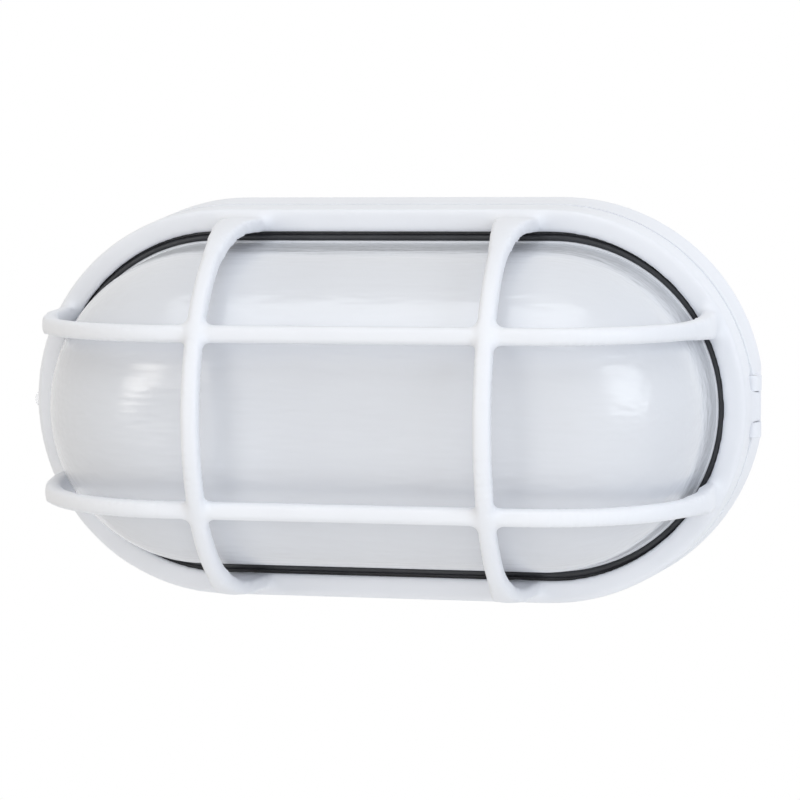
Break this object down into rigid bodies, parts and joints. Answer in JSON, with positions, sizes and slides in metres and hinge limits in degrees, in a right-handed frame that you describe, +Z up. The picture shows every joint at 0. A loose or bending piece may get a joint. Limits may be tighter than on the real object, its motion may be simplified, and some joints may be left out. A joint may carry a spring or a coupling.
{
  "type": "oval caged bulkhead light",
  "caption": "White oval bulkhead wall light with a hinged wire-like cast guard over a frosted glass dome, a screw lampholder and a rear cable entry.",
  "frame": {"origin": "middle of the flat back face that lies on the wall", "axes": "+X along the long side towards the hinge, +Y into the wall, +Z up; the light faces -Y"},
  "size_m": [0.2108, 0.0944, 0.116],
  "materials": {
    "white_paint": "satin white powder coat",
    "steel": "zinc plated",
    "dark_steel": "spring steel",
    "frosted_glass": "frosted, translucent",
    "black_rubber": "matt",
    "porcelain": "glazed",
    "brass": "plain",
    "zinc_plate": "zinc plated sheet",
    "opal_glass": "opal",
    "cap_metal": "plain",
    "terminal_plastic": "matt",
    "brown_sleeve": "matt",
    "blue_sleeve": "matt",
    "grey_rubber": "matt"
  },
  "bodies": {
    "base": {"base_housing": "white_paint", "hinge_pin": "steel", "lampholder_body": "porcelain", "lampholder_shell": "brass", "lampholder_contact": "brass", "lampholder_bracket": "zinc_plate", "holder_screws": "steel", "bracket_screws": "steel", "lamp_bulb": "opal_glass", "lamp_cap": "cap_metal", "terminal_block": "terminal_plastic", "terminal_sleeves": "brass", "terminal_screws": "steel", "terminal_fixings": "steel", "live_lead": "brown_sleeve", "neutral_lead": "blue_sleeve", "earth_screw": "brass", "earth_washer": "brass", "cable_grommet": "grey_rubber"},
    "guard": {"guard": "white_paint", "glass_dome": "frosted_glass", "glass_gasket": "black_rubber"},
    "screw": {"closing_screw": "steel", "screw_retainer": "dark_steel"}
  },
  "joints": [
    {"name": "guard_swing", "type": "hinge", "parent": "base", "child": "guard", "pos_m": [0.10288, -0.018, 0], "axis": [0, 0, 1], "range_deg": [0, 110]},
    {"name": "screw_turn", "type": "hinge", "parent": "guard", "child": "screw", "pos_m": [-0.1019, -0.024, 0], "axis": [0, -1, 0], "continuous": true}
  ]
}
